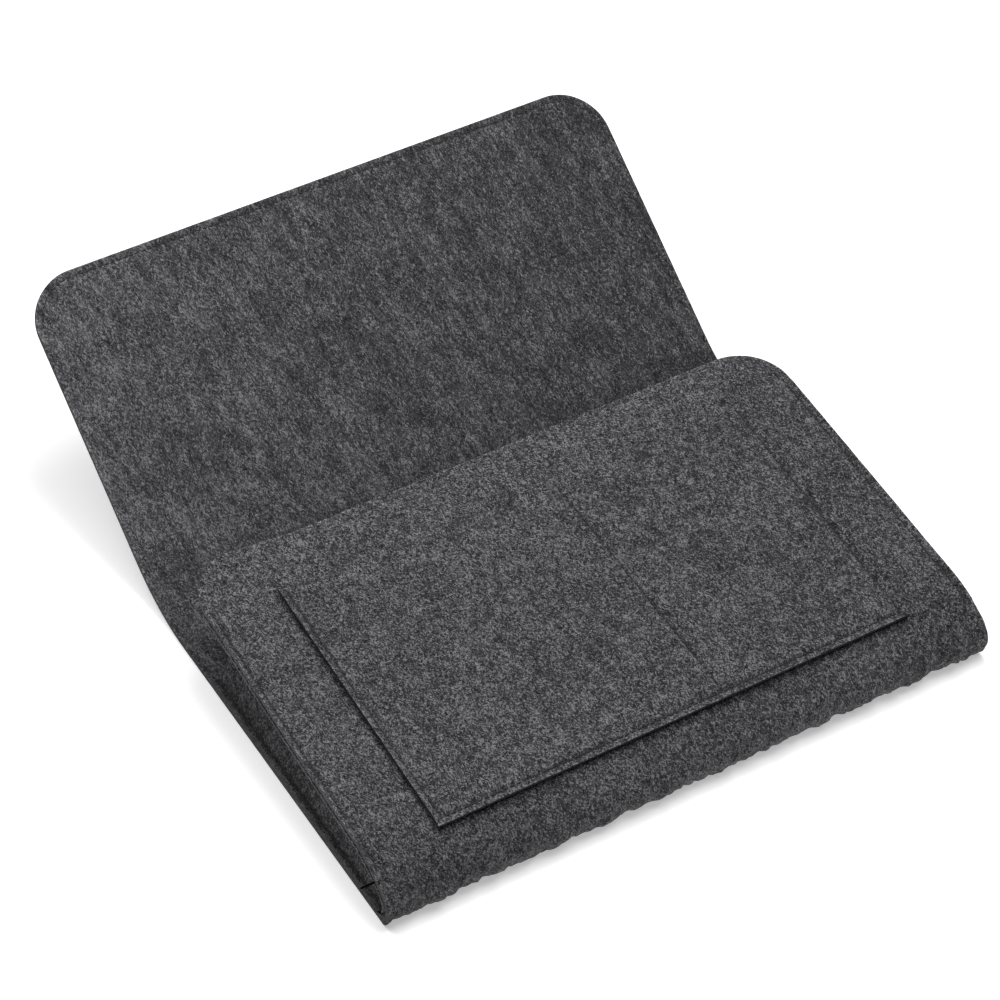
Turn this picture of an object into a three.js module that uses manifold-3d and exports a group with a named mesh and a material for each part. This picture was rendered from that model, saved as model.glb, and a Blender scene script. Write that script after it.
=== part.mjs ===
// Felt bedside caddy lying on its back with the tuck flap raised.
// Millimetres, +Z up; +Y runs from the pocket's bottom fold towards the flap.
// One long felt sheet makes flap, crease, back, bottom fold and front; it is divided at its creases.
import * as THREE from 'three';
import { mergeVertices } from 'three/addons/utils/BufferGeometryUtils.js';
import Module from 'manifold-3d';

const wasm = await Module();
wasm.setup();

const degree = Math.PI / 180;

// the felt sheet
const sheetWidth = 330;
const feltThickness = 3;
const cornerRadius = 27;

// back and flap: the reach is from the bottom fold to the crease line, the length from there to the tip
const backReach = 230;
const flapLength = 175;
const flapRise = 37.3 * degree;
const bendRadius = 80;

// bottom fold and front panel: outer radii, headings above the horizontal, reach of the mouth's edge
const noseRadius = 12;
const shoulderRadius = 55;
const shoulderHeading = 35 * degree;
const frontRise = 6.4 * degree;
const mouthReach = 200.5;

// patch pocket on the front panel
const patchWidth = 257;
const patchHeight = 153.5;
const patchDrop = 28.5;
const dividerOffset = 26;

// folded side gussets
const gussetDepth = 28;
const gussetMargin = 6.5;
const gussetHeading = 27 * degree;
const gussetRearStart = 26;
const gussetRearEnd = 172;

// stitching
const seamInset = 3.5;
const seamTail = 3;
const threadRadius = 0.4;

// clearances
const hingeGap = 0.3;
const layGap = 0.3;
const threadGap = 0.15;
const grooveOvershoot = 1;

// facets
const arcSteps = 6;
const noseSteps = 10;
const cornerSteps = 4;
const threadSides = 8;

// colours
const feltColour = 0x4b4b4d;
const flapColour = 0x464648;
const patchColour = 0x4e4e50;
const gussetColour = 0x424244;
const threadColour = 0x2c2c2f;
const feltRoughness = 0.95;
const threadRoughness = 0.8;

const halfWidth = sheetWidth / 2;
const bendTangent = bendRadius * Math.tan(flapRise / 2);

// In the front panel's frame y runs up the panel from the end of its lower curve, and z is out of its face.
const shoulderTurn = shoulderHeading - frontRise;
const shoulderLength = shoulderRadius * shoulderTurn;
const noseLength = noseRadius * (Math.PI - shoulderHeading);
const shoulderCentre = new THREE.Vector2(0, -shoulderRadius);
const noseCentre = round(shoulderCentre, shoulderRadius - noseRadius, shoulderTurn);

const caddy = new THREE.Group();
caddy.name = 'bedside_caddy';
const flap = new THREE.Group();
flap.position.y = backReach;
flap.rotation.x = flapRise;
const front = new THREE.Group();
front.rotation.x = frontRise;
front.position.set(0, -noseCentre.x, -noseCentre.y).applyEuler(front.rotation);
front.position.add(new THREE.Vector3(0, noseRadius, noseRadius));
caddy.add(flap, front);
caddy.updateMatrixWorld(true);

const frontLength = (mouthReach - front.position.y) / Math.cos(frontRise);
const patchTop = frontLength - patchDrop;
const patchBottom = patchTop - patchHeight;
const gussetStart = -shoulderRadius * (gussetHeading - frontRise);
const gussetEnd = frontLength - cornerRadius;

// A point (y, z) on a fold's round outer side, turned back from the top of the round.
function round(centre, radius, angle) {
  return new THREE.Vector2(centre.x - radius * Math.sin(angle), centre.y + radius * Math.cos(angle));
}

// A place on the front sheet: x across, run up it, height above its outer face.
// Runs below zero go round the shoulder and then round the nose of the bottom fold.
function onFront(x, run, height) {
  if (run >= 0) return new THREE.Vector3(x, run, height);
  const onShoulder = run >= -shoulderLength;
  const point = onShoulder
    ? round(shoulderCentre, shoulderRadius + height, -run / shoulderRadius)
    : round(noseCentre, noseRadius + height, shoulderTurn - (run + shoulderLength) / noseRadius);
  return new THREE.Vector3(x, point.x, point.y);
}

// The same on the patch pocket's outer face.
function onPatch(x, run, height) {
  return onFront(x, run, layGap + feltThickness + height);
}

// A place on the flap's upper face, in the flap's frame.
function onFlap(x, run, height) {
  return new THREE.Vector3(x, run, feltThickness + height);
}

// A place on the bend between back and flap: rise is the angle turned so far.
function onBend(x, rise, height) {
  const y = backReach - bendTangent + (bendRadius - height) * Math.sin(rise);
  const z = bendRadius - (bendRadius - height) * Math.cos(rise);
  return new THREE.Vector3(x, y, z);
}

// A place on the gussets' margins that lie on the back panel.
function onRearMargin(x, y, height) {
  return new THREE.Vector3(x, y, 2 * feltThickness + height);
}

// Evenly spaced values, both ends included.
function spaced(from, to, steps) {
  return Array.from({ length: steps + 1 }, (_, k) => from + ((to - from) * k) / steps);
}

// Runs up the front sheet, with a step at each facet of its round stretches.
const foldRuns = [
  ...spaced(-shoulderLength - noseLength, -shoulderLength, noseSteps),
  ...spaced(-shoulderLength, 0, arcSteps).slice(1),
];

function frontRuns(from, to) {
  return [from, ...foldRuns.filter((run) => run > from && run < to), to];
}

// A felt strip of one width, from its side profile.
function strip(place, runs, low, high, width) {
  const lower = runs.map((run) => place(0, run, low));
  const upper = runs.map((run) => place(0, run, high)).reverse();
  const profile = new THREE.Shape([...lower, ...upper].map((point) => new THREE.Vector2(point.y, point.z)));
  const geometry = new THREE.ExtrudeGeometry(profile, { depth: width, bevelEnabled: false });
  const across = new THREE.Matrix4().makeBasis(
    new THREE.Vector3(0, 1, 0),
    new THREE.Vector3(0, 0, 1),
    new THREE.Vector3(1, 0, 0),
  );
  return geometry.applyMatrix4(across).translate(-width / 2, 0, 0);
}

// A flat felt panel with two rounded corners at its far end.
function panel(start, end) {
  const shape = new THREE.Shape();
  const cornerX = halfWidth - cornerRadius;
  const cornerY = end - cornerRadius;
  shape.moveTo(-halfWidth, start);
  shape.lineTo(halfWidth, start);
  shape.absarc(cornerX, cornerY, cornerRadius, 0, Math.PI / 2);
  shape.absarc(-cornerX, cornerY, cornerRadius, Math.PI / 2, Math.PI);
  return new THREE.ExtrudeGeometry(shape, {
    depth: feltThickness,
    bevelEnabled: false,
    curveSegments: cornerSteps,
  });
}

// Triangles over a ring of points, turning the same way as the ring.
function capFaces(ring) {
  const normal = new THREE.Vector3();
  ring.forEach((point, k) => normal.add(point.clone().cross(ring[(k + 1) % ring.length])));
  normal.normalize();
  const across = ring[1].clone().sub(ring[0]);
  across.addScaledVector(normal, -across.dot(normal)).normalize();
  const up = normal.clone().cross(across);
  const flat = ring.map((point) => new THREE.Vector2(point.dot(across), point.dot(up)));
  const faces = THREE.ShapeUtils.triangulateShape(flat, []);
  const turned = faces.reduce((sum, face) => {
    const [a, b, c] = face.map((k) => flat[k]);
    return sum + b.clone().sub(a).cross(c.clone().sub(a));
  }, 0);
  return turned > 0 ? faces : faces.map((face) => face.slice().reverse());
}

// A closed body through a row of rings with the same number of points.
function loft(rings) {
  const count = rings[0].length;
  const last = (rings.length - 1) * count;
  const points = rings.flat();
  const index = [];
  for (let row = 0; row < last; row += count) {
    for (let k = 0; k < count; k += 1) {
      const a = row + k;
      const b = row + ((k + 1) % count);
      index.push(a, b, b + count, a, b + count, a + count);
    }
  }
  capFaces(rings[0]).forEach(([a, b, c]) => index.push(c, b, a));
  capFaces(rings[rings.length - 1]).forEach(([a, b, c]) => index.push(last + a, last + b, last + c));
  let volume = 0;
  for (let k = 0; k < index.length; k += 3) {
    const [a, b, c] = [points[index[k]], points[index[k + 1]], points[index[k + 2]]];
    volume += a.dot(b.clone().cross(c));
  }
  if (volume < 0) index.reverse();
  const geometry = new THREE.BufferGeometry().setFromPoints(points);
  geometry.setIndex(index);
  return geometry;
}

// A section, in pairs of sideways and height, carried along a path of [x, run] places with mitred turns.
function sweep(place, path, section) {
  const points = path.map(([x, run]) => new THREE.Vector2(x, run));
  return loft(points.map((point, k) => {
    const before = point.clone().sub(points[Math.max(k - 1, 0)]).normalize();
    const after = points[Math.min(k + 1, points.length - 1)].clone().sub(point).normalize();
    const along = before.clone().add(after).normalize();
    const mitre = 1 / along.dot(k === 0 ? after : before);
    return section.map(([sideways, height]) => place(
      point.x - along.y * sideways * mitre,
      point.y + along.x * sideways * mitre,
      height,
    ));
  }));
}

// The same path, longer at both ends.
function lengthened(path, extra) {
  const ends = [[path[0], path[1]], [path[path.length - 1], path[path.length - 2]]];
  const [first, final] = ends.map(([end, inner]) => {
    const way = new THREE.Vector2(end[0] - inner[0], end[1] - inner[1]).setLength(extra);
    return [end[0] + way.x, end[1] + way.y];
  });
  return [first, ...path.slice(1, -1), final];
}

// A thread lies in its groove with its top level with the felt.
function thread(place, path) {
  const section = spaced(0, 2 * Math.PI, threadSides).slice(1).map((angle) => [
    threadRadius * Math.cos(angle),
    threadRadius * (Math.sin(angle) - 1),
  ]);
  return sweep(place, path, section);
}

function groove(place, path) {
  const side = threadRadius + threadGap;
  const floor = -2 * threadRadius;
  const section = [[-side, floor], [side, floor], [side, grooveOvershoot], [-side, grooveOvershoot]];
  return sweep(place, lengthened(path, threadGap), section);
}

function solid(geometry) {
  const bare = geometry.clone();
  bare.deleteAttribute('normal');
  bare.deleteAttribute('uv');
  const merged = mergeVertices(bare);
  return new wasm.Manifold(new wasm.Mesh({
    numProp: 3,
    vertProperties: new Float32Array(merged.getAttribute('position').array),
    triVerts: new Uint32Array(merged.getIndex().array),
  }));
}

function cut(geometry, cutters) {
  const mesh = cutters.reduce((body, cutter) => body.subtract(solid(cutter)), solid(geometry)).getMesh();
  const result = new THREE.BufferGeometry();
  result.setAttribute('position', new THREE.BufferAttribute(mesh.vertProperties, 3));
  result.setIndex(new THREE.BufferAttribute(mesh.triVerts, 1));
  return result;
}

function add(parent, name, geometry, color, roughness) {
  geometry.computeVertexNormals();
  const mesh = new THREE.Mesh(geometry, new THREE.MeshStandardMaterial({ color, roughness, metalness: 0 }));
  mesh.name = name;
  parent.add(mesh);
  return mesh;
}

function addFelt(parent, name, geometry, color) {
  return add(parent, name, geometry, color, feltRoughness);
}

function addThread(parent, name, geometry) {
  return add(parent, name, geometry, threadColour, threadRoughness);
}

function addFlap() {
  const arc = spaced(0, Math.PI / 2, 2 * cornerSteps).map((angle) => [
    halfWidth - cornerRadius + (cornerRadius - seamInset) * Math.cos(angle),
    flapLength - cornerRadius + (cornerRadius - seamInset) * Math.sin(angle),
  ]);
  const path = [...arc.map(([x, run]) => [-x, run]), ...arc.slice().reverse()];
  const sheet = panel(bendTangent + hingeGap, flapLength);
  addFelt(flap, 'flap_panel', cut(sheet, [groove(onFlap, path)]), flapColour);
  addThread(flap, 'flap_seam', thread(onFlap, path));
}

function addBack() {
  const rises = spaced(0, flapRise, arcSteps);
  addFelt(caddy, 'flap_crease', strip(onBend, rises, 0, feltThickness, sheetWidth), flapColour);
  const start = noseRadius + hingeGap;
  const end = backReach - bendTangent;
  const sheet = new THREE.BoxGeometry(sheetWidth, end - start, feltThickness);
  addFelt(caddy, 'back_panel', sheet, feltColour).position.set(0, (start + end) / 2, feltThickness / 2);
}

function sidePath(side, runs) {
  return runs.map((run) => [side * (halfWidth - seamInset), run]);
}

// The front panel and the shoulder of its fold are sewn to a gusset at each side.
function addFront() {
  const runs = frontRuns(gussetStart + seamTail, gussetEnd - seamTail);
  const paths = { left: sidePath(-1, runs), right: sidePath(1, runs) };
  const grooves = Object.values(paths).map((path) => groove(onFront, path));
  const fold = strip(onFront, foldRuns, -feltThickness, 0, sheetWidth);
  addFelt(front, 'bottom_fold', cut(fold, grooves), feltColour);
  const sheet = panel(0, frontLength).translate(0, 0, -feltThickness);
  addFelt(front, 'front_panel', cut(sheet, grooves), feltColour);
  Object.entries(paths).forEach(([name, path]) => {
    addThread(front, `${name}_front_seam`, thread(onFront, path));
  });
}

// The patch pocket is sewn on at its sides and foot, and once more between its two compartments.
function addPatch() {
  const seamX = patchWidth / 2 - seamInset;
  const seamRuns = frontRuns(patchBottom + seamInset, patchTop - seamTail);
  const edge = [
    ...seamRuns.slice().reverse().map((run) => [-seamX, run]),
    ...seamRuns.map((run) => [seamX, run]),
  ];
  const dividerRuns = frontRuns(patchBottom + seamInset + seamTail, patchTop - seamTail);
  const divider = dividerRuns.map((run) => [dividerOffset, run]);
  const sheet = strip(onPatch, frontRuns(patchBottom, patchTop), -feltThickness, 0, patchWidth);
  addFelt(front, 'patch_pocket', cut(sheet, [groove(onPatch, edge), groove(onPatch, divider)]), patchColour);
  addThread(front, 'patch_seam', thread(onPatch, edge));
  addThread(front, 'divider_seam', thread(onPatch, divider));
}

// A gusset's section at one run of the front: flat margins on front and back, and a fold pointing inwards.
function gussetRing(side, run) {
  const share = (run - gussetStart) / (gussetEnd - gussetStart);
  const rearY = gussetRearStart + (gussetRearEnd - gussetRearStart) * share;
  const onFrontMargin = (inset, depth) => {
    const x = side * (halfWidth - inset);
    return front.localToWorld(onFront(x, run, -feltThickness - layGap - depth));
  };
  const onBack = (inset, height) => {
    return new THREE.Vector3(side * (halfWidth - inset), rearY, feltThickness + height);
  };
  const crease = (inset) => onFrontMargin(inset, 0).add(onBack(inset, 0)).divideScalar(2);
  const span = onFrontMargin(0, 0).distanceTo(onBack(0, 0));
  const slope = Math.atan2(span / 2 - feltThickness, gussetDepth - gussetMargin);
  const innerMargin = gussetMargin + feltThickness * Math.tan(slope / 2);
  const outerDepth = gussetDepth - feltThickness / Math.sin(slope);
  return [
    onFrontMargin(0, 0),
    onFrontMargin(innerMargin, 0),
    crease(gussetDepth),
    onBack(innerMargin, 0),
    onBack(0, 0),
    onBack(0, feltThickness),
    onBack(gussetMargin, feltThickness),
    crease(outerDepth),
    onFrontMargin(gussetMargin, feltThickness),
    onFrontMargin(0, feltThickness),
  ];
}

function addGusset(name, side) {
  const path = sidePath(side, [gussetRearStart + seamTail, gussetRearEnd - seamTail]);
  const body = loft(frontRuns(gussetStart, gussetEnd).map((run) => gussetRing(side, run)));
  addFelt(caddy, `${name}_gusset`, cut(body, [groove(onRearMargin, path)]), gussetColour);
  addThread(caddy, `${name}_rear_seam`, thread(onRearMargin, path));
}

addFlap();
addBack();
addFront();
addPatch();
addGusset('left', -1);
addGusset('right', 1);

// The origin is under the middle of the whole caddy.
const box = new THREE.Box3().setFromObject(caddy, true);
const middle = box.getCenter(new THREE.Vector3());
caddy.position.set(-middle.x, -middle.y, -box.min.z);

export default caddy;
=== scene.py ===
import math
from collections import namedtuple
from functools import lru_cache, partial

import bmesh
import bpy
import numpy as np
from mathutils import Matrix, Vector, kdtree, noise


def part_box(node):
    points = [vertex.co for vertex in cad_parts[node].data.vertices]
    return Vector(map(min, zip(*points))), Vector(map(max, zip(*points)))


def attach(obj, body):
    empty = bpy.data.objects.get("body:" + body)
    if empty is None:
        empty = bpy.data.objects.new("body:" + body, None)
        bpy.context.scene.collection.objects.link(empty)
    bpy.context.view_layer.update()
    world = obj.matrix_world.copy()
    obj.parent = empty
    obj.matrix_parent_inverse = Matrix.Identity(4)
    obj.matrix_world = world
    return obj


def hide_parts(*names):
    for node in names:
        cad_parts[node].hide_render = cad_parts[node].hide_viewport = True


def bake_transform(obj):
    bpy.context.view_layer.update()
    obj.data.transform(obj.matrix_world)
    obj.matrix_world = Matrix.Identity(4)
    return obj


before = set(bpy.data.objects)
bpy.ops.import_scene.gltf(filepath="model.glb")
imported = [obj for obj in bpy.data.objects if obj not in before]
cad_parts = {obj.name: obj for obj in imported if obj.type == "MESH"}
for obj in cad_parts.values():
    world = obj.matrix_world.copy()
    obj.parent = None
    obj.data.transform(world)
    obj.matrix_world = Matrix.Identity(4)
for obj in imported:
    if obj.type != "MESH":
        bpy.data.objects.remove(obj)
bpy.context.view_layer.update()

# Lengths are millimetres, as the felt is cut and sewn, from the foot of the bottom fold. Places go to metres last.
MM = 0.001

# The main sheet. It is made as two meshes that meet in the back, at the split.
FELT = 3
SHEET_WIDTH = 330
HALF_WIDTH = SHEET_WIDTH / 2
CORNER = 27
SHEET_SPLIT = 112

# The back, the bend and the flap.
BACK_REACH = 230
BEND_RADIUS = 80
FLAP_LENGTH = 174.3
FLAP_RISE = math.radians(37.3)
FLAP_TWIST = math.radians(1.5)

# The bottom fold, a tight nose and a wide shoulder, and the front.
NOSE_RADIUS = 12
SHOULDER_RADIUS = 55
SHOULDER_HEADING = math.radians(35)
FRONT_RISE = math.radians(6.4)
MOUTH_REACH = 200.5
HINGE_GAP = 0.3
LAY_GAP = 0.3

# The patch pocket. Its divider seam leans a little.
PATCH_LEFT = -128.5
PATCH_RIGHT = 130.5
PATCH_HEIGHT = 151.5
PATCH_DROP = 31
PATCH_FLARE = 1.3
DIVIDER_HEAD = 21.9
DIVIDER_FOOT = 26.3

# The gussets: how deep they fold at the foot and at the mouth, where they meet the back, and the slit near
# their foot.
GUSSET_DEPTHS = (9, 26)
GUSSET_FOLD = 0.6
GUSSET_MARGIN = 0.8
GUSSET_HEADING = math.radians(27)
GUSSET_REAR_START = 26
GUSSET_REAR_END = 172
GUSSET_SLIT = 2.2
GUSSET_TAIL = 25
GUSSET_TAIL_REAR = 10.5
GUSSET_STEPS = 46
GUSSET_BENDS = (1.6, 3.0, 1.0)
BEND_SHARE = 0.45
BEND_POINTS = 13
AREA_SAMPLES = 50

# Seams: how far in they run, how the felt is drawn in along them, and the painted shade along their lines.
SEAM_INSET = 3.5
LEFT_INSET = 2.6
SEAM_TAIL = 3
SEAM_SINK = 0.6
SEAM_SPREAD = 0.9
SEAM_LINE = 0.75
FLAP_SEAM_SHADE = 0.2
EDGE_SPLAY = 0.6
CORNER_STEPS = 24

# Grid lines on the flat cuts, and the soft rims of their cut edges.
COARSE = 1.75
FINE = 0.6
FINE_REACH = 2.5
POCKET_COARSE = 1.45
BACK_COARSE = 3.4
NOSE_COARSE = 1.2
FRONT_COARSE = 2.4
GRID_HALF = 0.5
RIM_ROUND = 0.45
RIM_SEGMENTS = 2
RIM_ANGLE = 1
RIM_REACH = 4
WALL_TILT = 0.1

ROW_Y = NOSE_RADIUS + HINGE_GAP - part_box("back_panel")[0].y / MM


def row(x, y, z):
    return Vector((x, y - ROW_Y, z)) * MM


# Camera at the photograph's viewing angle.
EYE = Vector((-0.61616, -1.04398, 1.21784))
LOOK = Vector((0.3645, 0.6155, -0.6988))
LENS = 124.14
SENSOR = 36


def place_camera():
    data = bpy.data.cameras.new("view_camera")
    data.lens = LENS
    data.sensor_width = SENSOR
    camera = bpy.data.objects.new("view_camera", data)
    bpy.context.scene.collection.objects.link(camera)
    camera.location = EYE
    camera.rotation_euler = LOOK.to_track_quat("-Z", "Y").to_euler()
    bpy.context.scene.camera = camera


place_camera()

# The sheet from the back, round the bottom fold and up the front. Run 0 is where the front becomes straight.
SHOULDER_RUN = SHOULDER_RADIUS * (SHOULDER_HEADING - FRONT_RISE)
NOSE_RUN = NOSE_RADIUS * (math.pi - SHOULDER_HEADING)
FOLD_RUN = SHOULDER_RUN + NOSE_RUN


def outward(heading):
    return np.array((-math.sin(heading), math.cos(heading)))


NOSE_CENTRE = np.array((NOSE_RADIUS, NOSE_RADIUS))
SHOULDER_CENTRE = NOSE_CENTRE - (SHOULDER_RADIUS - NOSE_RADIUS) * outward(SHOULDER_HEADING)
FRONT_START = SHOULDER_CENTRE + SHOULDER_RADIUS * outward(FRONT_RISE)
FRONT_WAY = np.array((math.cos(FRONT_RISE), math.sin(FRONT_RISE)))
FRONT_LENGTH = (MOUTH_REACH - FRONT_START[0]) / FRONT_WAY[0]
PATCH_TOP = FRONT_LENGTH - PATCH_DROP
PATCH_FOOT = PATCH_TOP - PATCH_HEIGHT
BEND_TANGENT = BEND_RADIUS * math.tan(FLAP_RISE / 2)
BEND_RUN = BEND_RADIUS * FLAP_RISE
BEND_START = BACK_REACH - BEND_TANGENT
FLAP_TIP = BEND_START + BEND_RUN + FLAP_LENGTH - BEND_TANGENT
GUSSET_START = -SHOULDER_RADIUS * (GUSSET_HEADING - FRONT_RISE)
GUSSET_END = FRONT_LENGTH - CORNER
SLIT_START = GUSSET_START - GUSSET_SLIT
TAIL_START = SLIT_START - GUSSET_TAIL
BACK_TO_RUN = NOSE_RADIUS - FOLD_RUN
POCKET_START = BACK_TO_RUN - SHEET_SPLIT


def smooth(low, high, value):
    share = min(max((value - low) / (high - low), 0), 1)
    return share * share * (3 - 2 * share)


def ripple(size, *place):
    """Even noise from -1 to 1 whose lumps are about that size."""
    return noise.noise(Vector(place) / size)


def front_side(run, height):
    """The side view of the pocket's sheet: a run along its outer face and a height above that."""
    if run >= 0:
        return FRONT_START + run * FRONT_WAY + height * outward(FRONT_RISE)
    if run >= -SHOULDER_RUN:
        heading = FRONT_RISE - run / SHOULDER_RADIUS
        return SHOULDER_CENTRE + (SHOULDER_RADIUS + height) * outward(heading)
    if run >= -FOLD_RUN:
        heading = SHOULDER_HEADING - (run + SHOULDER_RUN) / NOSE_RADIUS
        return NOSE_CENTRE + (NOSE_RADIUS + height) * outward(heading)
    return np.array((BACK_TO_RUN - run, -height))


# How far the front's left edge stands above its straight course, by run. The rise fades out towards the right, more
# slowly at the mouth.
LIFT_RUNS = (-SHOULDER_RUN, -12, -4, 20, 50, 80, 110, 140, 155, FRONT_LENGTH)
LIFT_EDGE = (0, 1.4, 2.2, 1.9, 1.9, 2.4, 3.1, 3.9, 4.4, 6.2)
LIFT_FADE = 42
MOUTH_FADE = 68
MOUTH_FADE_START = 130


def lift(x, run):
    fade = LIFT_FADE + (MOUTH_FADE - LIFT_FADE) * smooth(MOUTH_FADE_START, FRONT_LENGTH, run)
    share = 1 - smooth(-HALF_WIDTH, -HALF_WIDTH + fade, x)
    if share == 0 or run < LIFT_RUNS[0]:
        return 0
    return share * float(np.interp(run, LIFT_RUNS, LIFT_EDGE))


def on_pocket(x, run, height):
    y, z = front_side(run, height)
    return Vector((x, y, z + lift(x, run)))


def on_patch(x, run, height):
    return on_pocket(x, run, LAY_GAP + FELT + height)


def on_flap(x, run, height):
    """The sheet from the back, round the bend and up the flap; height is above its under side."""
    if run <= BEND_START:
        return Vector((x, run, height))
    full_rise = FLAP_RISE - FLAP_TWIST * (x / HALF_WIDTH + 1) / 2
    rise = min((run - BEND_START) / BEND_RADIUS, full_rise)
    past = max(run - BEND_START - BEND_RADIUS * full_rise, 0)
    y = BEND_START + (BEND_RADIUS - height) * math.sin(rise) + past * math.cos(rise)
    z = BEND_RADIUS - (BEND_RADIUS - height) * math.cos(rise) + past * math.sin(rise)
    return Vector((x, y, z))


def spacing(low, high, seams, coarse=COARSE):
    """Grid lines from low to high, close together beside seams and at both ends."""
    lines = [low]
    marks = [low, high, *seams]
    while lines[-1] < high:
        near = min(abs(lines[-1] + FINE - mark) for mark in marks)
        lines.append(lines[-1] + (FINE if near < FINE_REACH else coarse))
    return low + (np.array(lines) - low) * (high - low) / (lines[-1] - low)


def rounded_corner(x, run, end):
    """Draws the square corners at one end of a sheet in to an arc."""
    across = (abs(x) - HALF_WIDTH + CORNER) / CORNER
    along = (run - end + CORNER) / CORNER
    if across <= 0 or along <= 0:
        return x, run
    pulled_across = across * math.sqrt(1 - along * along / 2)
    pulled_along = along * math.sqrt(1 - across * across / 2)
    new_x = math.copysign(HALF_WIDTH - CORNER + CORNER * pulled_across, x)
    return new_x, end - CORNER + CORNER * pulled_along


def square_corner(x, run):
    return x, run


def cut_felt(xs, runs, trim, open_run=None, slit=None):
    """A flat felt cut with soft rims: x across, y along the run, z from 0 to the felt's thickness."""
    felt = bmesh.new()
    columns, rows = len(xs) - 1, len(runs) - 1
    bmesh.ops.create_grid(felt, x_segments=columns, y_segments=rows, size=GRID_HALF)
    for vert in felt.verts:
        x = xs[round((vert.co.x + GRID_HALF) * columns)]
        run = runs[round((vert.co.y + GRID_HALF) * rows)]
        vert.co = (*trim(x, run), 0)
    if slit:
        slit_faces = [face for face in felt.faces if slit[0] < face.calc_center_median().y < slit[1]]
        bmesh.ops.delete(felt, geom=slit_faces, context="FACES")
    raised = bmesh.ops.extrude_face_region(felt, geom=felt.faces[:], use_keep_orig=True)
    top = [part for part in raised["geom"] if isinstance(part, bmesh.types.BMVert)]
    bmesh.ops.translate(felt, verts=top, vec=(0, 0, FELT))
    bmesh.ops.recalc_face_normals(felt, faces=felt.faces[:])
    walls = [edge for edge in felt.edges if abs(edge.verts[0].co.z - edge.verts[1].co.z) > FELT / 2]
    bmesh.ops.subdivide_edges(felt, edges=walls, cuts=1, use_grid_fill=True)
    rims = []
    for edge in felt.edges:
        first, last = (vert.co for vert in edge.verts)
        level = first.z == last.z and first.z in (0, FELT)
        at_split = open_run is not None and first.y == last.y == open_run
        if level and not at_split and edge.calc_face_angle(0) > RIM_ANGLE:
            rims.append(edge)
    bmesh.ops.bevel(felt, geom=rims, offset=RIM_ROUND, offset_type="OFFSET", affect="EDGES", segments=RIM_SEGMENTS,
                    profile=0.5, material=-1, clamp_overlap=True)
    return felt


# What is worked out at each x and run of a sheet: its faces' unevenness, how far the nearest seam is, how light
# the painted shade leaves its cut edge beside its faces, the painted shade and light on its faces there, and where
# that place lies in the felt that it was cut from. A sheet that goes on in another one has no cut edge at its open
# run. Seam shade is how strongly the painted shade along its seams shows.
Marks = namedtuple("Marks", "relief gap cut tone lay open_run seam_shade", defaults=(None, 1))


def shaped(name, felt, place, marks, *finishes):
    """Folds a flat cut into its place and makes it an object, with the marks that the finish follows."""
    flat = felt.verts.layers.float_vector.new("flat")
    rim = felt.verts.layers.float.new("rim")
    seam = felt.verts.layers.float.new("seam")
    cut = felt.verts.layers.float.new("cut")
    tone = felt.verts.layers.float.new("tone")
    mark_rim(felt, rim, marks.open_run)
    half = FELT / 2
    for vert in felt.verts:
        x, run, height = vert.co
        vert[flat] = Vector(marks.lay(x, run, height)) * MM
        # How strongly painted shade falls along the nearest seam.
        vert[seam] = marks.seam_shade * math.exp(-(marks.gap(x, run) / SEAM_LINE) ** 2)
        vert[cut] = marks.cut(x, run)
        # Painted shade and light by place.
        vert[tone] = marks.tone(x, run)
        upper, lower = marks.relief(x, run)
        level = (height - half) / half
        height += upper * level if level > 0 else lower * level
        x, y, z = place(x, run, height)
        vert.co = row(x, y, max(z, 0))
    return piece(name, felt, *finishes)


def mark_rim(felt, rim, open_run):
    """Notes how near the cut edge each point is: 1 on the cut itself, 0 at its rim, -1 well inside the sheet."""
    felt.normal_update()
    walls = [vert for vert in felt.verts if abs(vert.normal.z) < WALL_TILT and vert.co.y != open_run]
    edge = kdtree.KDTree(len(walls))
    for number, vert in enumerate(walls):
        edge.insert((vert.co.x, vert.co.y, 0), number)
    edge.balance()
    for vert in felt.verts:
        steepness = 1 - abs(vert.normal.z)
        if steepness > WALL_TILT and vert.co.y != open_run:
            vert[rim] = steepness
        else:
            gap = edge.find((vert.co.x, vert.co.y, 0))[2]
            vert[rim] = -min(gap / RIM_REACH, 1)


def piece(name, shape, *finishes):
    bmesh.ops.recalc_face_normals(shape, faces=shape.faces[:])
    mesh = bpy.data.meshes.new(name)
    shape.to_mesh(mesh)
    shape.free()
    mesh.shade_smooth()
    for finish in finishes:
        mesh.materials.append(finish)
    made = bpy.data.objects.new(name, mesh)
    bpy.context.scene.collection.objects.link(made)
    return made


def wire(tree, kind, inputs, **settings):
    """A shader node: inputs maps its sockets to values or to other nodes' outputs."""
    made = tree.nodes.new("ShaderNode" + kind)
    for name, value in settings.items():
        setattr(made, name, value)
    for key, value in inputs.items():
        if isinstance(value, bpy.types.NodeSocket):
            tree.links.new(value, made.inputs[key])
        else:
            made.inputs[key].default_value = value
    return made.outputs


def math_step(tree, operation, *values):
    return wire(tree, "Math", dict(enumerate(values)), operation=operation)[0]


def vector_step(tree, operation, *values):
    return wire(tree, "VectorMath", dict(enumerate(values)), operation=operation)[0]


def even_noise(tree, place, size, detail):
    return wire(tree, "TexNoise", {"Vector": place, "Scale": 1 / size, "Detail": detail})


def ranged(tree, value, source, target):
    """A value carried from one range over to another."""
    ends = zip(("From Min", "From Max", "To Min", "To Max"), (*source, *target))
    return wire(tree, "MapRange", {"Value": value, **dict(ends)})["Result"]


def mark(tree, name):
    return wire(tree, "Attribute", {}, attribute_name=name)["Fac"]


def blank_finish(name, look):
    finish = bpy.data.materials.new(name)
    finish.use_nodes = True
    tree = finish.node_tree
    surface = tree.nodes["Principled BSDF"]
    for key, value in look.items():
        surface.inputs[key].default_value = value
    return finish, tree, surface


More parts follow.
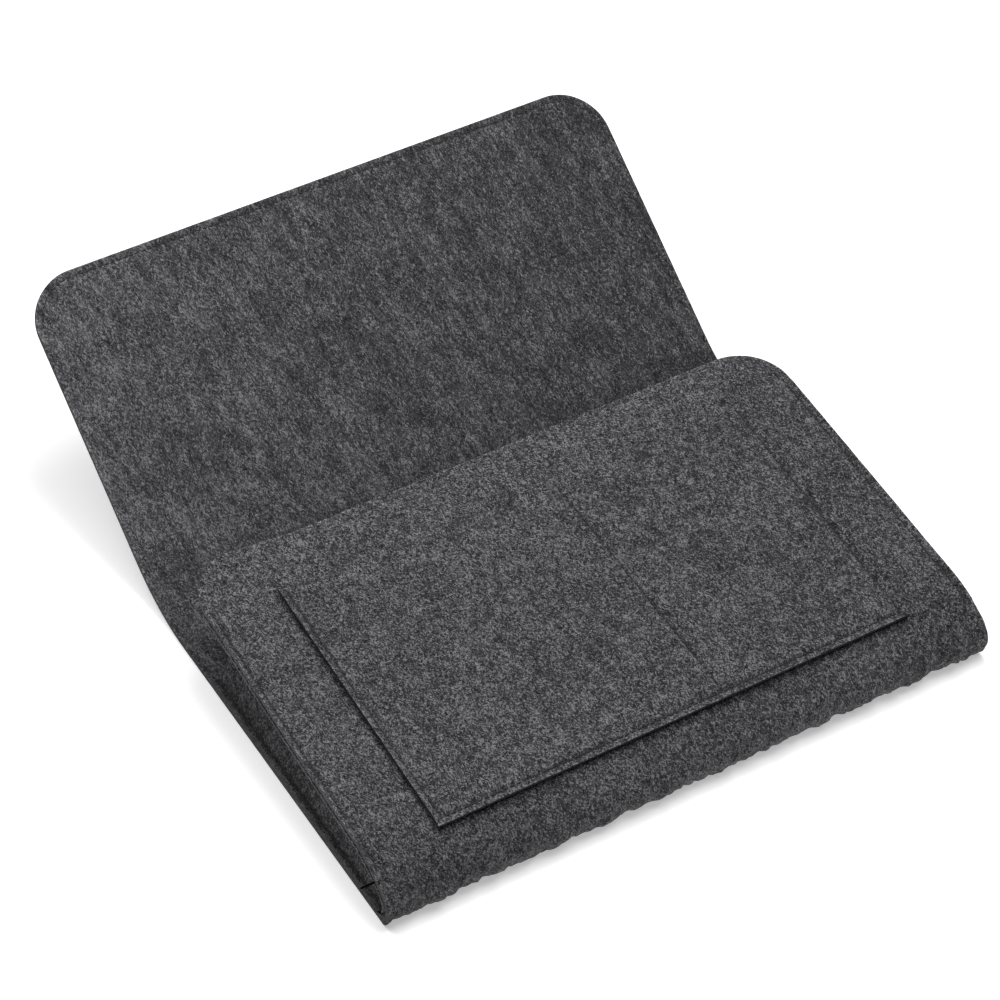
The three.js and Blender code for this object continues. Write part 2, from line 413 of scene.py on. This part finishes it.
# Felt and thread greys are display levels from 0 to 255, a little blue.
FELT_LEVELS = {0.0: 22, 0.25: 40, 0.5: 61, 0.75: 90, 1.0: 140}
THREAD_LEVELS = (24, 50)
FULL_LEVEL = 255
DISPLAY_GAMMA = 2.2
GREEN_SHARE = 0.995
BLUE_SHARE = 1.06

# Fibres lie at a few turns from the sheet's run, in degrees. Their contrast changes from clump to clump.
FRONT_TURNS = (46, 8, -18, -34, -66)
FLAP_TURNS = (-30, 2, 17, 30, 50)
FIBRE_WIDTH = 0.56
FIBRE_CURL = (3.3, 2)
STRAND_SHIFT = (13.7, 7.3, 3.1)
STRAND_ROUGHNESS = 0.45
CURL_SHIFT = (31, 17, 0)
MIDDLE = (0.5, 0.5, 0.5)
CLUMP = 6
CLUMP_SPREAD = (0.3, 0.7)
CLUMP_CONTRAST = (0.7, 1.3)

# Clouds are soft blotches as width, length and strength. Hairs are long light fibres on top.
FRONT_CLOUDS = ((2.4, 3.2, 0.6), (5, 7, 0.5), (20, 24, 0.25))
FLAP_CLOUDS = ((2.6, 12, 0.62), (7, 18, 0.36), (30, 30, 0.2))
CLOUD_TURN = 8
CLOUD_START = 20
HAIR_TURNS = (-55, -24, -5, 17, 40)
HAIR_WIDTH = 0.36
HAIR_LENGTH = 8
HAIR_CURL = (8, 6)
HAIR_START = 9
HAIR_SPREAD = (0.64, 0.78)
HAIR_LIFT = 0.27

# Cut edges carry painted shade, the rims beside them a painted highlight, and the lines of the seams painted
# shade, broken where fibres cover them.
CUT_SHADE_SPREAD = (0.3, 0.8)
RIM_HIGHLIGHT_SPREAD = (-0.3, 0)
RIM_HIGHLIGHT = 1.35
SEAM_SHADE = 0.75
SEAM_COVERED = 0.45
COVER_SCALE = 0.14
COVER_SPREAD = (0.35, 0.6)

NAP = {"Strength": 0.6, "Distance": 0.3 * MM}
FELT_LOOK = {"Roughness": 0.95, "Specular IOR Level": 0.2, "Sheen Weight": 0.08, "Sheen Roughness": 0.6}
THREAD_LOOK = {"Roughness": 0.7, "Sheen Weight": 0.1}
THREAD_TWIST = {"Scale": 2500, "Detail": 2}


def grey(level):
    """A near neutral grey from a display level."""
    linear = (level / FULL_LEVEL) ** DISPLAY_GAMMA
    return (linear, linear * GREEN_SHARE, linear * BLUE_SHARE, 1)


def strand_noise(tree, place, number, turn, width, length, detail):
    """Noise drawn out into strands that lie at a turn from the run of the sheet."""
    laid = wire(tree, "Mapping", {
        "Vector": place,
        "Location": [number * shift for shift in STRAND_SHIFT],
        "Rotation": (0, 0, math.radians(turn)),
        "Scale": (width, length, width),
    }, vector_type="TEXTURE")[0]
    strands = {"Vector": laid, "Scale": 1, "Detail": detail, "Roughness": STRAND_ROUGHNESS}
    return wire(tree, "TexNoise", strands)["Fac"]


def curled(tree, place, number, size, reach):
    """The place shifted about by even noise, so that strands laid on it curl."""
    moved = vector_step(tree, "ADD", place, [number * shift for shift in CURL_SHIFT])
    drift = even_noise(tree, moved, size, 1)["Color"]
    drift = vector_step(tree, "SUBTRACT", drift, MIDDLE)
    return vector_step(tree, "MULTIPLY_ADD", drift, (reach, reach, reach), place)


def fibre_pattern(tree, place, turns, fibre_length, contrast):
    """Light and dark fibres about a middle value, clearer in some clumps than in others."""
    strands = []
    for number, turn in enumerate(turns):
        strands.append(strand_noise(tree, place, number, turn, FIBRE_WIDTH, fibre_length, 1))
    light = dark = strands[0]
    for strand in strands[1:]:
        light = math_step(tree, "MAXIMUM", light, strand)
        dark = math_step(tree, "MINIMUM", dark, strand)
    value = math_step(tree, "ADD", light, dark)
    value = math_step(tree, "SUBTRACT", value, 1.0)
    clumps = even_noise(tree, place, CLUMP, 2)["Fac"]
    clumps = ranged(tree, clumps, CLUMP_SPREAD, [share * contrast for share in CLUMP_CONTRAST])
    return math_step(tree, "MULTIPLY_ADD", value, clumps, 0.5)


def felt_shade(tree, place):
    """Painted shade on cut edges and seams, a painted highlight on rims, and painted shade and light by place."""
    rim = mark(tree, "rim")
    # Painted shade on the cut edges.
    cut = ranged(tree, rim, CUT_SHADE_SPREAD, (1, mark(tree, "cut")))
    # Painted highlight on the rims beside the cut edges.
    rim_highlight = ranged(tree, rim, RIM_HIGHLIGHT_SPREAD, (1, RIM_HIGHLIGHT))
    shade = math_step(tree, "MULTIPLY", cut, rim_highlight)
    # Painted shade and light by place.
    shade = math_step(tree, "MULTIPLY", shade, mark(tree, "tone"))
    # Painted shade along the seam lines, broken where fibres cover them.
    covered = wire(tree, "TexNoise", {"Vector": place, "Scale": COVER_SCALE, "Detail": 1})["Fac"]
    covered = ranged(tree, covered, COVER_SPREAD, (-SEAM_SHADE, -SEAM_COVERED * SEAM_SHADE))
    drawn = math_step(tree, "MULTIPLY_ADD", mark(tree, "seam"), covered, 1.0)
    return math_step(tree, "MULTIPLY", shade, drawn)


def felt_finish(name, turns, fibre_length, contrast, clouds, tone, painted_side_light):
    """Charcoal heather felt: short light and dark fibres, clumps and blotches, a soft nap, and painted shade and
    light.
    """
    finish, tree, surface = blank_finish(name, FELT_LOOK)
    flat = wire(tree, "Attribute", {}, attribute_name="flat")["Vector"]
    across = wire(tree, "SeparateXYZ", {0: flat})["X"]
    place = wire(tree, "VectorMath", {0: flat, "Scale": 1 / MM}, operation="SCALE")[0]
    hair_place = curled(tree, place, 1, *HAIR_CURL)
    place = curled(tree, place, 0, *FIBRE_CURL)
    value = fibre_pattern(tree, place, turns, fibre_length, contrast)
    # Painted light: the sheet grows lighter towards the left.
    value = math_step(tree, "MULTIPLY_ADD", across, painted_side_light, value)
    for number, (width, length, strength) in enumerate(clouds):
        cloud = strand_noise(tree, place, number + CLOUD_START, CLOUD_TURN, width, length, 2)
        cloud = math_step(tree, "MULTIPLY_ADD", cloud, strength, -0.5 * strength)
        value = math_step(tree, "ADD", value, cloud)
    for number, turn in enumerate(HAIR_TURNS):
        hair = strand_noise(tree, hair_place, number + HAIR_START, turn, HAIR_WIDTH, HAIR_LENGTH, 0)
        hair = ranged(tree, hair, HAIR_SPREAD, (0, HAIR_LIFT))
        value = math_step(tree, "ADD", value, hair)
    ramp = tree.nodes.new("ShaderNodeValToRGB")
    stops = ramp.color_ramp.elements
    while len(stops) < len(FELT_LEVELS):
        stops.new(0.5)
    for stop, (position, level) in zip(stops, FELT_LEVELS.items()):
        stop.position = position
        stop.color = grey(level * tone)
    tree.links.new(value, ramp.inputs["Fac"])
    shaded = {0: ramp.outputs["Color"], "Scale": felt_shade(tree, place)}
    colour = wire(tree, "VectorMath", shaded, operation="SCALE")[0]
    tree.links.new(colour, surface.inputs["Base Color"])
    nap = wire(tree, "Bump", {"Height": value, **NAP})["Normal"]
    tree.links.new(nap, surface.inputs["Normal"])
    return finish


def thread_finish():
    finish, tree, surface = blank_finish("thread_dark_grey", THREAD_LOOK)
    along = wire(tree, "TexCoord", {})["Object"]
    twist = wire(tree, "TexNoise", {"Vector": along, **THREAD_TWIST})["Fac"]
    ramp = tree.nodes.new("ShaderNodeValToRGB")
    for stop, level in zip(ramp.color_ramp.elements, THREAD_LEVELS):
        stop.color = grey(level)
    tree.links.new(twist, ramp.inputs["Fac"])
    tree.links.new(ramp.outputs["Color"], surface.inputs["Base Color"])
    return finish


front_felt = felt_finish("felt_front", FRONT_TURNS, fibre_length=1.6, contrast=2.45, clouds=FRONT_CLOUDS,
                         tone=0.865, painted_side_light=-0.15)
flap_felt = felt_finish("felt_flap", FLAP_TURNS, fibre_length=2.0, contrast=1.75, clouds=FLAP_CLOUDS,
                        tone=0.885, painted_side_light=-0.45)
gusset_felt = felt_finish("felt_gusset", FRONT_TURNS, fibre_length=1.6, contrast=2.3, clouds=FRONT_CLOUDS,
                          tone=0.88, painted_side_light=0)
thread = thread_finish()


# Seams as [x, run] paths on their own sheets.
def corner_path(centre_x, start, end):
    radius = CORNER - SEAM_INSET
    angles = np.linspace(start, end, CORNER_STEPS)
    return [(centre_x + radius * math.cos(a), FLAP_TIP - CORNER + radius * math.sin(a)) for a in angles]


corner_x = HALF_WIDTH - CORNER
flap_path = [*corner_path(-corner_x, math.pi, math.pi / 2), *corner_path(corner_x, math.pi / 2, 0)]
patch_seam_left = PATCH_LEFT + SEAM_INSET
patch_seam_right = PATCH_RIGHT - SEAM_INSET
patch_seam_foot = PATCH_FOOT + SEAM_INSET
patch_seam_head = PATCH_TOP - SEAM_TAIL
patch_path = [
    (patch_seam_left, patch_seam_head),
    (patch_seam_left, patch_seam_foot),
    (patch_seam_right, patch_seam_foot),
    (patch_seam_right, patch_seam_head),
]
divider_path = [(DIVIDER_HEAD, patch_seam_head), (DIVIDER_FOOT, patch_seam_foot + SEAM_TAIL)]
front_seam = (GUSSET_START + SEAM_TAIL, GUSSET_END - SEAM_TAIL)
rear_seam = (GUSSET_REAR_START + SEAM_TAIL, GUSSET_REAR_END - SEAM_TAIL)
side_lines = (-HALF_WIDTH + LEFT_INSET, HALF_WIDTH - SEAM_INSET)


def side_inset(x):
    """How far in the seam is on that side of the sheet."""
    return SEAM_INSET if x > 0 else LEFT_INSET


def line_gap(x, run, line_x, low, high):
    """Distance to a straight seam along the run."""
    return math.hypot(x - line_x, max(low - run, run - high, 0))


def flap_gap(x, run):
    if run > FLAP_TIP - CORNER:
        corner = Vector((max(abs(x) - corner_x, 0), run - FLAP_TIP + CORNER))
        return abs(corner.length - CORNER + SEAM_INSET)
    return line_gap(abs(x), run, HALF_WIDTH - side_inset(x), *rear_seam)


def pocket_gap(x, run):
    line_x = HALF_WIDTH - side_inset(x)
    if run < -FOLD_RUN:
        return line_gap(abs(x), BACK_TO_RUN - run, line_x, *rear_seam)
    return line_gap(abs(x), run, line_x, *front_seam)


def patch_edge_gap(x, run):
    foot = math.hypot(run - patch_seam_foot, max(patch_seam_left - x, x - patch_seam_right, 0))
    left = line_gap(x, run, patch_seam_left, patch_seam_foot, patch_seam_head)
    right = line_gap(x, run, patch_seam_right, patch_seam_foot, patch_seam_head)
    return min(foot, left, right)


def patch_gap(x, run):
    share = (run - patch_seam_foot) / (patch_seam_head - patch_seam_foot)
    divider_x = DIVIDER_FOOT + (DIVIDER_HEAD - DIVIDER_FOOT) * share
    divider = line_gap(x, run, divider_x, patch_seam_foot, patch_seam_head)
    return min(patch_edge_gap(x, run), divider)


def pressed(gap):
    """How far the felt is drawn in at a distance from a seam."""
    return SEAM_SINK * math.exp(-(gap / SEAM_SPREAD) ** 2)


# Unevenness of the felt's two faces, broad and fine, and the lumps of the bottom fold, as height and size. A layer
# number or a run further along gives each face and each felt its own.
BROAD_RELIEF = (0.16, 9)
FINE_RELIEF = (0.1, 3.6)
UPPER_LAYERS = (3, 40)
LOWER_LAYERS = (80, 120)
POCKET_FURTHER = 500
PATCH_FURTHER = 900
GUSSET_FURTHER = 1400
LUMP_START = (-FOLD_RUN, -FOLD_RUN + 8)
LUMP_END = (-SHOULDER_RUN - 8, -SHOULDER_RUN + 12)
LUMP_BASE = 0.6
SMALL_LUMPS = (1.5, 3.1)
BIG_LUMPS = (1.2, 11)
LUMP_LAYERS = (7, 9)


def layered(x, run, broad, fine, layers):
    height, size = broad
    fine_height, fine_size = fine
    return height * ripple(size, x, run, layers[0]) + fine_height * ripple(fine_size, x, run, layers[1])


def felt_relief(x, run):
    upper = layered(x, run, BROAD_RELIEF, FINE_RELIEF, UPPER_LAYERS)
    lower = layered(x, run, BROAD_RELIEF, FINE_RELIEF, LOWER_LAYERS)
    return upper, lower


def flap_relief(x, run):
    upper, lower = felt_relief(x, run)
    sunk = pressed(flap_gap(x, run))
    if run < BEND_START:
        return upper, min(lower, 0) - sunk
    return upper - sunk, lower - sunk


def pocket_relief(x, run):
    upper, lower = felt_relief(x, run + POCKET_FURTHER)
    lumpy = smooth(*LUMP_START, run) * (1 - smooth(*LUMP_END, run))
    upper += lumpy * (LUMP_BASE + layered(x, run / 2, SMALL_LUMPS, BIG_LUMPS, LUMP_LAYERS))
    if run < -FOLD_RUN:
        upper = min(upper, 0)
    return upper - pressed(pocket_gap(x, run)), lower - pressed(patch_gap(x, run))


def patch_relief(x, run):
    upper, lower = felt_relief(x, run + PATCH_FURTHER)
    return upper - pressed(patch_gap(x, run)), min(lower, 0)


# Painted shade on the cut edges: how light each felt's edge stays beside its faces, lighter along the pocket's
# straight front.
FLAP_CUT_PAINTED_SHADE = 0.25
NOSE_CUT_PAINTED_SHADE = 0.34
FRONT_CUT_PAINTED_SHADE = 0.52
PATCH_CUT_PAINTED_SHADE = 0.11
GUSSET_CUT_PAINTED_SHADE = 0.5

# Painted shade darkens the sheet in the crease of the flap and on the nose, most at the left, and painted light
# brightens it along the mouth. Painted shade darkens the gussets along the back. Spans are runs, but the nose's
# left goes across the sheet, and the gussets' lower part is a share of their width.
CREASE_START = (165, 205)
CREASE_END = (237, 257)
CREASE_SHADE = 0.32
CREASE_LEAN = 0.25
NOSE_START = (-FOLD_RUN - 40, -FOLD_RUN)
NOSE_END = (-25, 22)
NOSE_LEFT = (-HALF_WIDTH, 10)
NOSE_SHADE = 0.05
NOSE_LEFT_SHADE = 0.15
MOUTH = (120, 175)
MOUTH_LIGHT = 0.12
GUSSET_LOWER = (0.8, 0.93)
GUSSET_SHADE = 0.32

# How far off in the roll the patch and the gussets were cut.
PATCH_ROLL = 70
GUSSET_ROLL = 140


def evenly(value):
    """The same value all over a sheet."""
    return lambda x, run: value


def pocket_cut_painted_shade(x, run):
    return NOSE_CUT_PAINTED_SHADE + (FRONT_CUT_PAINTED_SHADE - NOSE_CUT_PAINTED_SHADE) * smooth(-SHOULDER_RUN, 0, run)


# Painted shade in the crease of the flap, a little more at the right.
def flap_painted_shade(x, run):
    crease = smooth(*CREASE_START, run) * (1 - smooth(*CREASE_END, run))
    return 1 - CREASE_SHADE * crease * (1 + CREASE_LEAN * x / HALF_WIDTH)


# Painted shade on the nose, most at the left, and painted light along the mouth.
def pocket_painted_light_and_shade(x, run):
    left = 1 - smooth(*NOSE_LEFT, x)
    nose = smooth(*NOSE_START, run) * (1 - smooth(*NOSE_END, run))
    return 1 - (NOSE_SHADE + NOSE_LEFT_SHADE * left) * nose + MOUTH_LIGHT * smooth(*MOUTH, run)


# The main sheet's lay goes on from the flap's sheet to the pocket's.
def flap_lay(x, run, height):
    return x, run, height


def pocket_lay(x, run, height):
    return x, BACK_TO_RUN - run, FELT - height


def patch_lay(x, run, height):
    return x, -run, height + PATCH_ROLL


flap_marks = Marks(flap_relief, flap_gap, evenly(FLAP_CUT_PAINTED_SHADE), flap_painted_shade, flap_lay, SHEET_SPLIT, FLAP_SEAM_SHADE)
pocket_marks = Marks(pocket_relief, pocket_gap, pocket_cut_painted_shade, pocket_painted_light_and_shade, pocket_lay, POCKET_START)
patch_marks = Marks(patch_relief, patch_gap, evenly(PATCH_CUT_PAINTED_SHADE), evenly(1), patch_lay)

# Heights above the bottom fold for the pocket's sheet and the gussets; places are worked out at them but not used.
POCKET_BLEND = (4, 18)
GUSSET_BLEND = (7, 19)


def make_flap_sheet():
    xs = spacing(-HALF_WIDTH, HALF_WIDTH, side_lines)
    runs = spacing(SHEET_SPLIT, FLAP_TIP, (FLAP_TIP - SEAM_INSET,))
    felt = cut_felt(xs, runs, partial(rounded_corner, end=FLAP_TIP), SHEET_SPLIT)
    made = shaped("flap_sheet", felt, on_flap, flap_marks, flap_felt)
    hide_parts("flap_panel", "flap_crease")
    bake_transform(made)
    return made


def pocket_place(x, run, height):
    """The pocket's sheet by its height above its inner face. Its edges splay outside the side seams."""
    splay = 0
    if front_seam[0] < run < front_seam[1]:
        inset = side_inset(x)
        splay = EDGE_SPLAY * (max(abs(x) - HALF_WIDTH + inset, 0) / inset) ** 2
    return on_pocket(x, run, height - FELT + splay)


def make_pocket_sheet():
    xs = spacing(-HALF_WIDTH, HALF_WIDTH, side_lines, POCKET_COARSE)
    runs = np.concatenate((
        spacing(POCKET_START, -FOLD_RUN, (), BACK_COARSE)[:-1],
        spacing(-FOLD_RUN, -SHOULDER_RUN, (), NOSE_COARSE)[:-1],
        spacing(-SHOULDER_RUN, FRONT_LENGTH, (), FRONT_COARSE),
    ))
    felt = cut_felt(xs, runs, partial(rounded_corner, end=FRONT_LENGTH), POCKET_START)
    for face in felt.faces:
        face.material_index = int(face.calc_center_median().y < -FOLD_RUN)
    made = shaped("pocket_sheet", felt, pocket_place, pocket_marks, front_felt, flap_felt)
    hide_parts("back_panel", "bottom_fold", "front_panel")
    start, end = (row(0, NOSE_RADIUS, height) for height in POCKET_BLEND)
    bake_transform(made)
    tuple(start)
    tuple(end)
    return made


def patch_place(x, run, height):
    """The patch by its height above its under face. The margin outside its seam stands off the front a little."""
    past = max(patch_seam_left - x, x - patch_seam_right, patch_seam_foot - run, 0)
    flare = PATCH_FLARE * (past / SEAM_INSET) ** 2
    return on_patch(x, run, height - FELT + flare)


def make_patch():
    divider_middle = (DIVIDER_HEAD + DIVIDER_FOOT) / 2
    seams = (patch_seam_left, DIVIDER_HEAD, divider_middle, DIVIDER_FOOT, patch_seam_right)
    xs = spacing(PATCH_LEFT, PATCH_RIGHT, seams)
    runs = spacing(PATCH_FOOT, PATCH_TOP, (patch_seam_foot,))
    felt = cut_felt(xs, runs, square_corner)
    made = shaped("patch_pocket_felt", felt, patch_place, patch_marks, front_felt)
    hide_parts("patch_pocket")
    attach(made, "front")
    return made


# A gusset's section is a line of points, each a depth in from the side edges and a length of the way from the back
# to the front.
def gusset_line(span, depth, margin):
    """Evenly spaced points and their outward directions round a gusset's fold, and the length of the line."""
    points = [Vector((0, span - EDGE_SPLAY)), Vector((margin, span)), Vector((depth, span * GUSSET_FOLD)),
              Vector((margin, 0)), Vector((0, EDGE_SPLAY))]
    line = [points[0]]
    for before, corner, after, bend in zip(points, points[1:], points[2:], GUSSET_BENDS):
        way_in = (corner - before).normalized()
        way_out = (after - corner).normalized()
        reach = min(bend, (corner - before).length * BEND_SHARE, (after - corner).length * BEND_SHARE)
        start = corner - way_in * reach
        end = corner + way_out * reach
        for share in np.linspace(0, 1, BEND_POINTS):
            line.append((1 - share) ** 2 * start + 2 * share * (1 - share) * corner + share ** 2 * end)
    line.append(points[-1])
    line = np.array(line)
    length = np.concatenate(([0], np.cumsum(np.linalg.norm(np.diff(line, axis=0), axis=1))))
    along = np.linspace(0, length[-1], GUSSET_STEPS + 1)
    even = np.stack([np.interp(along, length, line[:, k]) for k in (0, 1)], axis=1)
    ways = np.gradient(even, axis=0)
    ways /= np.linalg.norm(ways, axis=1)[:, None]
    return even, np.stack((-ways[:, 1], ways[:, 0]), axis=1), length[-1]


@lru_cache(maxsize=None)
def gusset_section(side, run):
    """A gusset at a run: its places on the back and the front, and the line of its fold between them."""
    rear_runs = (TAIL_START, GUSSET_START, GUSSET_END)
    rear = np.interp(run, rear_runs, (GUSSET_TAIL_REAR, GUSSET_REAR_START, GUSSET_REAR_END))
    foot = np.array((rear, FELT + FELT / 2))
    head = front_side(run, -FELT - LAY_GAP - FELT / 2)
    head[1] += lift(side * HALF_WIDTH, run)
    depth = float(np.interp(run, (GUSSET_START, GUSSET_END), GUSSET_DEPTHS))
    margin = side_inset(side) + GUSSET_MARGIN
    return foot, head, gusset_line(float(np.linalg.norm(head - foot)), depth, margin)


def gusset_width(side, run):
    return gusset_section(side, run)[2][2]


def make_gusset(name, side):
    """A tapered strip folded once, with a slit near its foot below which its end turns into the bottom fold."""
    runs = [float(run) for run in spacing(TAIL_START, GUSSET_END, (SLIT_START, GUSSET_START))]
    widest = gusset_width(side, GUSSET_END)
    seam_inset = side_inset(side)
    xs = spacing(0, widest, (seam_inset, widest - seam_inset))

    def trim(x, run):
        return x / widest * gusset_width(side, run), run

    def gap(x, run):
        inset = min(x, gusset_width(side, run) - x)
        return line_gap(inset, run, seam_inset, *front_seam)

    def relief(x, run):
        upper, lower = felt_relief(x, run + GUSSET_FURTHER)
        sunk = pressed(gap(x, run))
        return upper - sunk, lower - sunk

    # Painted shade along the gusset's back margin.
    def tone(x, run):
        return 1 - GUSSET_SHADE * smooth(*GUSSET_LOWER, x / gusset_width(side, run))

    def lay(x, run, height):
        return x, -run, height + side * GUSSET_ROLL

    def place(x, run, height):
        foot, head, (line, out, length) = gusset_section(side, run)
        at = x / length * GUSSET_STEPS
        lifted = line + (height - FELT / 2) * out
        depth, rise = (np.interp(at, range(GUSSET_STEPS + 1), lifted[:, k]) for k in (0, 1))
        y, z = foot + (head - foot) * rise / np.linalg.norm(head - foot)
        return Vector((side * (HALF_WIDTH - depth), y, z))

    felt = cut_felt(xs, runs, trim, slit=(SLIT_START, GUSSET_START))
    marks = Marks(relief, gap, evenly(GUSSET_CUT_PAINTED_SHADE), tone, lay)
    made = shaped(f"{name}_gusset_felt", felt, place, marks, gusset_felt)
    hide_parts(f"{name}_gusset")
    start, end = (row(0, NOSE_RADIUS, height) for height in GUSSET_BLEND)
    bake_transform(made)
    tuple(start)
    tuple(end)
    widths = [gusset_width(side, run) for run in np.linspace(TAIL_START, GUSSET_END, AREA_SAMPLES)]
    return made


# A stitch is a short six-sided thread. It thins and dips into the felt towards both ends, and lies a little askew.
STITCH_PITCH = 3.4
STITCH_LENGTH = 2.9
STITCH_SIDES = 6
STITCH_CUTS = 4
STITCH_SINK = 0.25
STITCH_DIP = 0.75
DIP_POWER = 3
STITCH_SKEW = 0.1
SKEW_STEP = 1.7
THREAD_RADIUS = 0.36
THREAD_THINNING = 0.35
UNDER_BACK_RISE = 0.15


def stitch_shape():
    """One stitch of length and radius 1 along z."""
    stitch = bmesh.new()
    bmesh.ops.create_cone(stitch, cap_ends=True, segments=STITCH_SIDES, radius1=1, radius2=1, depth=1)
    long_edges = [edge for edge in stitch.edges if abs(edge.verts[0].co.z - edge.verts[1].co.z) > 0.5]
    bmesh.ops.subdivide_edges(stitch, edges=long_edges, cuts=STITCH_CUTS, use_grid_fill=True)
    mesh = bpy.data.meshes.new("stitch_pattern")
    stitch.to_mesh(mesh)
    stitch.free()
    return mesh


stitch_pattern = stitch_shape()


def walk(path, pitch):
    """Evenly spaced places along a path, each with its direction."""
    points = np.array(path, float)
    steps = np.linalg.norm(np.diff(points, axis=0), axis=1)
    length = np.concatenate(([0], np.cumsum(steps)))
    count = max(int(length[-1] / pitch), 1)
    middles = (np.arange(count) + 0.5) * length[-1] / count
    for middle in middles:
        k = min(int(np.searchsorted(length, middle, "right")) - 1, len(steps) - 1)
        way = (points[k + 1] - points[k]) / steps[k]
        yield points[k] + way * (middle - length[k]), way


def sew(name, node, rows, body):
    """A row of stitches on each path, on the face that its sign names."""
    shape = bmesh.new()
    number = 0
    for place, path, face in rows:
        for middle, way in walk(path, STITCH_PITCH):
            number += 1
            first = len(shape.verts)
            shape.from_mesh(stitch_pattern)
            shape.verts.ensure_lookup_table()
            skew = STITCH_SKEW * noise.noise(Vector((number * SKEW_STEP, 0, 0)))
            for vert in shape.verts[first:]:
                along = vert.co.z
                dip = abs(2 * along) ** DIP_POWER
                radius = THREAD_RADIUS * (1 - THREAD_THINNING * dip)
                aside = vert.co.x * radius + skew * along
                x = middle[0] + way[0] * along * STITCH_LENGTH - way[1] * aside
                run = middle[1] + way[1] * along * STITCH_LENGTH + way[0] * aside
                height = vert.co.y * radius - STITCH_SINK - STITCH_DIP * dip
                vert.co = row(*place(x, run, height * face))
    made = piece(name, shape, thread)
    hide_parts(node)
    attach(made, body)
    return made


def on_flap_top(x, run, height):
    return on_flap(x, run, FELT + height)


def on_rear_margin(x, run, height):
    return Vector((x, run, 2 * FELT + height))


def under_back(x, run, height):
    return Vector((x, run, UNDER_BACK_RISE + height))


def inside_front(x, run, height):
    return on_pocket(x, run, height - FELT)


def inside_front_margin(x, run, height):
    return on_pocket(x, run, height - 2 * FELT - LAY_GAP)


flap_sheet = make_flap_sheet()
pocket_sheet = make_pocket_sheet()
patch = make_patch()
make_gusset("left", -1)
make_gusset("right", 1)
sew("flap_stitches", "flap_seam", [(on_flap_top, flap_path, 1), (on_flap, flap_path, -1)], "flap")
sew("patch_stitches", "patch_seam", [(on_patch, patch_path, 1), (inside_front, patch_path, -1)], "front")
sew("divider_stitches", "divider_seam", [(on_patch, divider_path, 1), (inside_front, divider_path, -1)], "front")
for side_name, sign in (("left", -1), ("right", 1)):
    seam_x = sign * (HALF_WIDTH - side_inset(sign))
    path = [(seam_x, run) for run in front_seam]
    rows = [(on_pocket, path, 1), (inside_front_margin, path, -1)]
    sew(f"{side_name}_front_stitches", f"{side_name}_front_seam", rows, "front")
    path = [(seam_x, run) for run in rear_seam]
    rows = [(on_rear_margin, path, 1), (under_back, path, -1)]
    sew(f"{side_name}_rear_stitches", f"{side_name}_rear_seam", rows, "back")

# The stage, in metres and watts: a white floor that glows a little, four soft lights and a faint even light.
FLOOR_HALF = 6
FLOOR_DROP = 0.0002
FLOOR_LOOK = {
    "Base Color": (0.86, 0.86, 0.86, 1),
    "Roughness": 0.9,
    "Specular IOR Level": 0.1,
    "Emission Color": (1, 1, 1, 1),
    "Emission Strength": 0.4,
}
WORLD_STRENGTH = 0.05


def make_floor():
    floor = bmesh.new()
    bmesh.ops.create_grid(floor, x_segments=1, y_segments=1, size=FLOOR_HALF)
    bmesh.ops.translate(floor, verts=floor.verts[:], vec=(0, 0, -FLOOR_DROP))
    finish, tree, surface = blank_finish("floor_white", FLOOR_LOOK)
    piece("floor", floor, finish)


def soft_light(name, place, size, watts):
    data = bpy.data.lights.new(name, "AREA")
    data.shape = "DISK"
    data.size = size
    data.energy = watts
    lamp = bpy.data.objects.new(name, data)
    bpy.context.scene.collection.objects.link(lamp)
    lamp.location = place
    lamp.rotation_euler = (-Vector(place)).to_track_quat("-Z", "Y").to_euler()


make_floor()
soft_light("top_light", (0, 0.1, 2.0), size=1.5, watts=15)
soft_light("right_light", (0.45, 0.2, 1.75), size=0.8, watts=9.9)
soft_light("left_light", (-0.6, 0.7, 1.3), size=0.8, watts=8.5)
soft_light("front_light", (0.4, -0.55, 1.65), size=0.8, watts=10)
world = bpy.data.worlds.new("studio")
world.use_nodes = True
background = world.node_tree.nodes["Background"]
background.inputs["Color"].default_value = (1, 1, 1, 1)
background.inputs["Strength"].default_value = WORLD_STRENGTH
bpy.context.scene.world = world
bpy.context.scene.view_settings.view_transform = "Standard"
